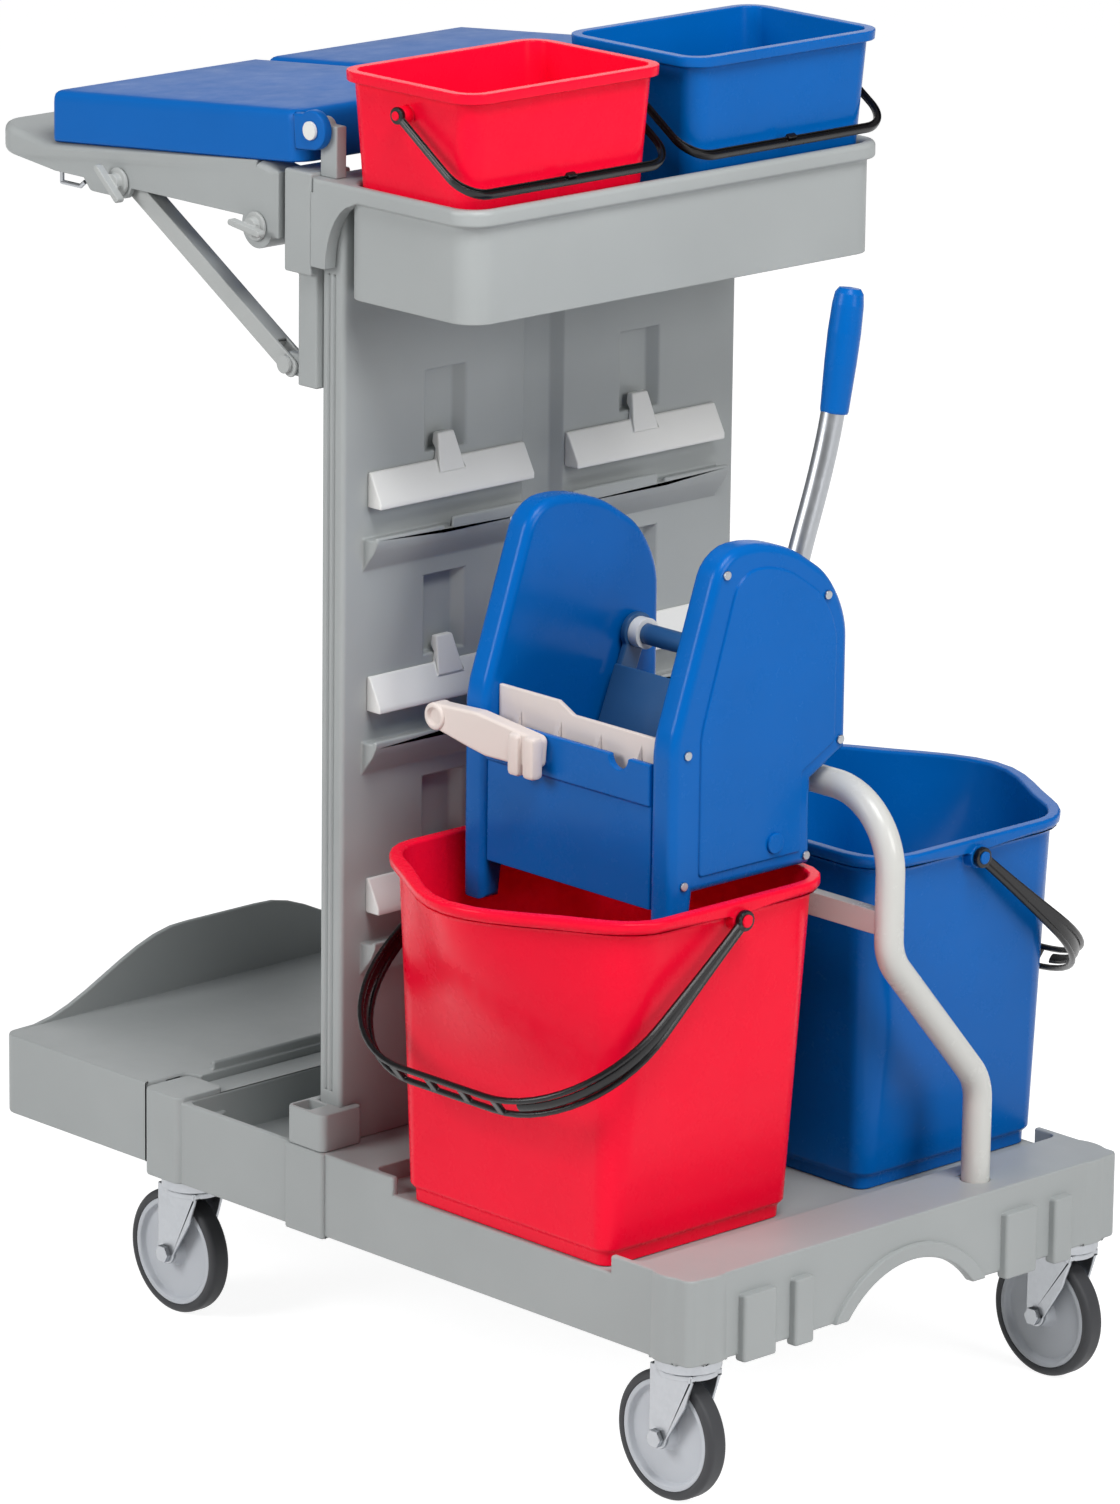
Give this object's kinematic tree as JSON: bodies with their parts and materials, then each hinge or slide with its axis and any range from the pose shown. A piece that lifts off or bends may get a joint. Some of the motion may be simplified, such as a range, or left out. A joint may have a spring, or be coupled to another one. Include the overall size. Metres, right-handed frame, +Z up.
{
  "type": "janitor cart",
  "caption": "Moulded cleaning trolley on swivel casters with a tool column, top tray, folding bag frame with lids, lift-out buckets with bails and a lever press wringer.",
  "frame": {"origin": "on the floor, under the middle of the cart's overall box", "axes": "+Z up, +X from the bag end to the bucket end, +Y across the cart to the side of the blue buckets"},
  "size_m": [0.808, 0.5946, 1.0173],
  "materials": {
    "grey_plastic": "satin",
    "strut_plastic": "satin",
    "white_plastic": "satin",
    "blue_plastic": "gloss",
    "red_plastic": "gloss",
    "black_plastic": "satin",
    "press_paint": "satin",
    "tube_paint": "satin",
    "zinc_steel": "satin",
    "wheel_plastic": "satin",
    "tyre_rubber": "matte"
  },
  "bodies": {
    "cart": {"base_frame": "grey_plastic", "bag_platform": "grey_plastic", "column_panel": "grey_plastic", "column_feet": "grey_plastic", "tool_clips": "white_plastic", "top_tray": "grey_plastic", "bag_brackets": "grey_plastic", "strut_pins": "strut_plastic", "lid_hinges": "grey_plastic", "lid_pins": "white_plastic", "press_stand": "tube_paint", "caster_heads": "zinc_steel"},
    "bag_frame": {"bag_frame": "grey_plastic", "bag_handle": "grey_plastic", "bag_hooks": "zinc_steel"},
    "struts": {"struts": "strut_plastic"},
    "wringer": {"wringer_side_near": "blue_plastic", "wringer_side_far": "blue_plastic", "wringer_tub": "blue_plastic", "press_screen": "white_plastic", "wringer_pins": "zinc_steel", "wringer_screws": "zinc_steel"},
    "press": {"press_plate": "press_paint", "press_arms": "press_paint", "press_crossbar": "press_paint", "press_bushes": "white_plastic", "lever_tube": "zinc_steel", "lever_grip": "blue_plastic"},
    "pivot_screw_near": {"pivot_screw_near": "strut_plastic"},
    "pivot_screw_far": {"pivot_screw_far": "strut_plastic"},
    "lock_screw_near": {"lock_screw_near": "strut_plastic"},
    "lock_screw_far": {"lock_screw_far": "strut_plastic"},
    "lid_near": {"lid_near": "blue_plastic"},
    "lid_far": {"lid_far": "blue_plastic"},
    "small_bucket_red": {"small_bucket_red": "red_plastic"},
    "small_bucket_blue": {"small_bucket_blue": "blue_plastic"},
    "small_bail_red": {"small_bail_red": "black_plastic"},
    "small_bail_blue": {"small_bail_blue": "black_plastic"},
    "large_bucket_red": {"large_bucket_red": "red_plastic"},
    "large_bucket_blue": {"large_bucket_blue": "blue_plastic"},
    "large_bail_red": {"large_bail_red": "black_plastic"},
    "large_bail_blue": {"large_bail_blue": "black_plastic"},
    "latch": {"latch": "white_plastic"},
    "swivel_front_near": {"fork_front_near": "zinc_steel", "axle_front_near": "zinc_steel"},
    "roller_front_near": {"wheel_front_near": "wheel_plastic", "tyre_front_near": "tyre_rubber"},
    "swivel_front_far": {"fork_front_far": "zinc_steel", "axle_front_far": "zinc_steel"},
    "roller_front_far": {"wheel_front_far": "wheel_plastic", "tyre_front_far": "tyre_rubber"},
    "swivel_rear_near": {"fork_rear_near": "zinc_steel", "axle_rear_near": "zinc_steel"},
    "roller_rear_near": {"wheel_rear_near": "wheel_plastic", "tyre_rear_near": "tyre_rubber"},
    "swivel_rear_far": {"fork_rear_far": "zinc_steel", "axle_rear_far": "zinc_steel"},
    "roller_rear_far": {"wheel_rear_far": "wheel_plastic", "tyre_rear_far": "tyre_rubber"}
  },
  "joints": [
    {"name": "swivel_front_near", "type": "hinge", "parent": "cart", "child": "swivel_front_near", "pos_m": [0.369, -0.202, 0.107], "axis": [0, 0, 1], "continuous": true},
    {"name": "roll_front_near", "type": "hinge", "parent": "swivel_front_near", "child": "roller_front_near", "pos_m": [0.353, -0.202, 0.05], "axis": [0, 1, 0], "continuous": true},
    {"name": "swivel_front_far", "type": "hinge", "parent": "cart", "child": "swivel_front_far", "pos_m": [0.369, 0.202, 0.107], "axis": [0, 0, 1], "continuous": true},
    {"name": "roll_front_far", "type": "hinge", "parent": "swivel_front_far", "child": "roller_front_far", "pos_m": [0.353, 0.202, 0.05], "axis": [0, 1, 0], "continuous": true},
    {"name": "swivel_rear_near", "type": "hinge", "parent": "cart", "child": "swivel_rear_near", "pos_m": [-0.184, -0.202, 0.107], "axis": [0, 0, 1], "continuous": true},
    {"name": "roll_rear_near", "type": "hinge", "parent": "swivel_rear_near", "child": "roller_rear_near", "pos_m": [-0.2, -0.202, 0.05], "axis": [0, 1, 0], "continuous": true},
    {"name": "swivel_rear_far", "type": "hinge", "parent": "cart", "child": "swivel_rear_far", "pos_m": [-0.184, 0.202, 0.107], "axis": [0, 0, 1], "continuous": true},
    {"name": "roll_rear_far", "type": "hinge", "parent": "swivel_rear_far", "child": "roller_rear_far", "pos_m": [-0.2, 0.202, 0.05], "axis": [0, 1, 0], "continuous": true},
    {"name": "bag_fold", "type": "hinge", "parent": "cart", "child": "bag_frame", "pos_m": [-0.095, 0, 0.886], "axis": [0, -1, 0], "range_deg": [0, 90]},
    {"name": "strut_fold", "type": "hinge", "parent": "cart", "child": "struts", "pos_m": [-0.07, 0, 0.784], "axis": [0, -1, 0], "range_deg": [0, 117]},
    {"name": "pivot_screw_near_turn", "type": "hinge", "parent": "cart", "child": "pivot_screw_near", "pos_m": [-0.095, -0.22, 0.886], "axis": [0, 1, 0], "continuous": true},
    {"name": "lock_screw_near_turn", "type": "hinge", "parent": "bag_frame", "child": "lock_screw_near", "pos_m": [-0.253, -0.22, 0.895], "axis": [0, 1, 0], "continuous": true},
    {"name": "lid_near_open", "type": "hinge", "parent": "cart", "child": "lid_near", "pos_m": [-0.036, -0.11, 0.967], "axis": [0, 1, 0], "range_deg": [0, 90]},
    {"name": "pivot_screw_far_turn", "type": "hinge", "parent": "cart", "child": "pivot_screw_far", "pos_m": [-0.095, 0.22, 0.886], "axis": [0, 1, 0], "continuous": true},
    {"name": "lock_screw_far_turn", "type": "hinge", "parent": "bag_frame", "child": "lock_screw_far", "pos_m": [-0.253, 0.22, 0.895], "axis": [0, 1, 0], "continuous": true},
    {"name": "lid_far_open", "type": "hinge", "parent": "cart", "child": "lid_far", "pos_m": [-0.036, 0.11, 0.967], "axis": [0, 1, 0], "range_deg": [0, 90]},
    {"name": "small_bucket_red_lift", "type": "slide", "parent": "cart", "child": "small_bucket_red", "axis": [0, 0, 1], "range_m": [0, 0.18]},
    {"name": "small_bail_red_swing", "type": "hinge", "parent": "small_bucket_red", "child": "small_bail_red", "pos_m": [0.063, -0.114, 0.9933], "axis": [0, -1, 0], "range_deg": [0, 120]},
    {"name": "large_bucket_red_out", "type": "slide", "parent": "cart", "child": "large_bucket_red", "axis": [0, -1, 0], "range_m": [0, 0.095]},
    {"name": "large_bail_red_swing", "type": "hinge", "parent": "large_bucket_red", "child": "large_bail_red", "pos_m": [0.198, -0.1255, 0.426], "axis": [-1, 0, 0], "range_deg": [0, 95]},
    {"name": "small_bucket_blue_lift", "type": "slide", "parent": "cart", "child": "small_bucket_blue", "axis": [0, 0, 1], "range_m": [0, 0.18]},
    {"name": "small_bail_blue_swing", "type": "hinge", "parent": "small_bucket_blue", "child": "small_bail_blue", "pos_m": [0.063, 0.114, 0.9933], "axis": [0, -1, 0], "range_deg": [0, 120]},
    {"name": "large_bucket_blue_out", "type": "slide", "parent": "cart", "child": "large_bucket_blue", "axis": [0, 1, 0], "range_m": [0, 0.24]},
    {"name": "large_bail_blue_swing", "type": "hinge", "parent": "large_bucket_blue", "child": "large_bail_blue", "pos_m": [0.198, 0.1255, 0.426], "axis": [1, 0, 0], "range_deg": [0, 120]},
    {"name": "wringer_lift", "type": "slide", "parent": "cart", "child": "wringer", "axis": [0, 0, 1], "range_m": [0, 0.14]},
    {"name": "lever_swing", "type": "hinge", "parent": "wringer", "child": "press", "pos_m": [0.198, -0.066, 0.467], "axis": [1, 0, 0], "range_deg": [0, 45]},
    {"name": "latch_turn", "type": "hinge", "parent": "wringer", "child": "latch", "pos_m": [0.1355, -0.175, 0.531], "axis": [0, 1, 0], "range_deg": [0, 60]}
  ],
  "couplings": [
    {"joint": "strut_fold", "follows": "bag_fold", "ratio": 1.29}
  ]
}
